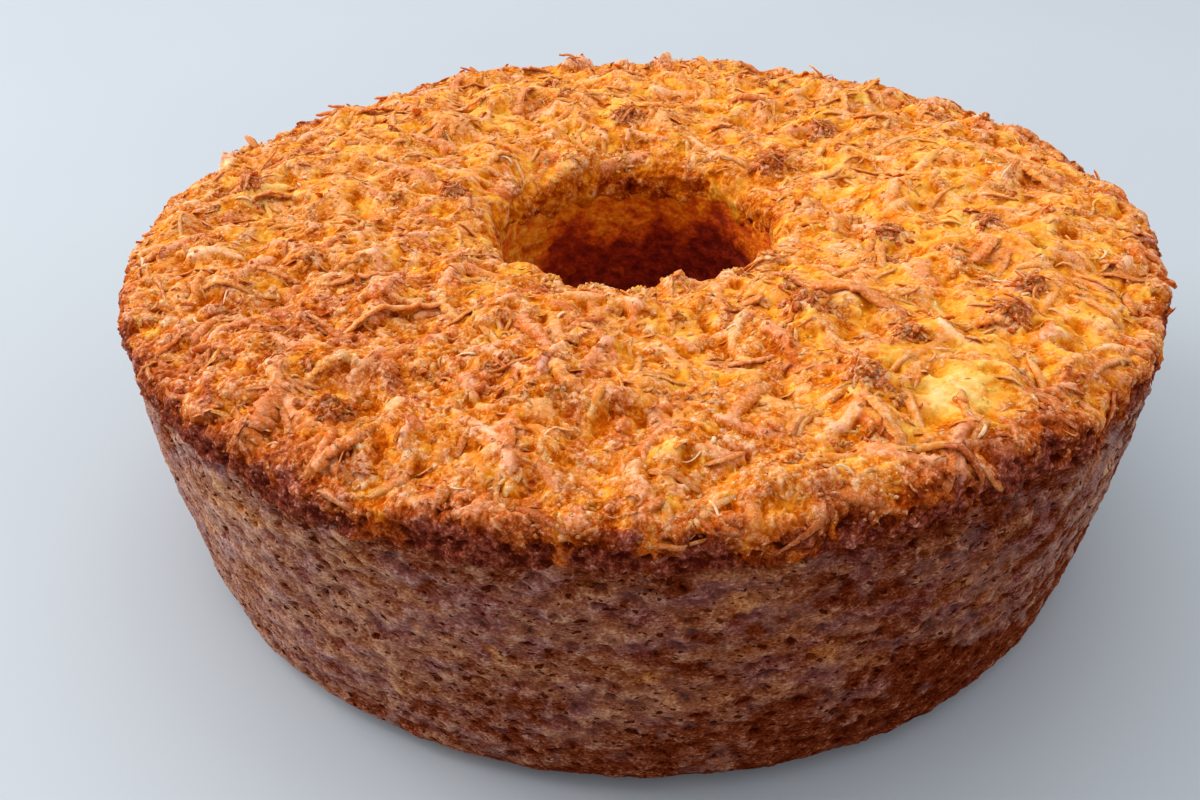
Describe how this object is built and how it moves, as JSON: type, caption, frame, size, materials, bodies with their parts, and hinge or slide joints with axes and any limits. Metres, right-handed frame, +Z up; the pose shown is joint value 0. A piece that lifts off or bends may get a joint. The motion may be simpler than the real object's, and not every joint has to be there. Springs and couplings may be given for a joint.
{
  "type": "ring-shaped cassava cake",
  "caption": "Tall ring cake of grated cassava: straight tapered sides, a centre hole and a craggy toasted crust of shreds on top.",
  "frame": {"origin": "centre of the flat base, on the axis of the hole", "axes": "+Z up along the axis of the hole, towards the toasted crust; -Y towards the side that faces the viewer; the round cake has no other front"},
  "size_m": [0.241, 0.2408, 0.0791],
  "materials": {
    "baked_crust": "baked cassava crumb: golden orange and toasted brown shreds on top, a darker brown, slightly oily skin on the side and in the hole"
  },
  "bodies": {
    "root": {"cake": "baked_crust"}
  },
  "joints": []
}
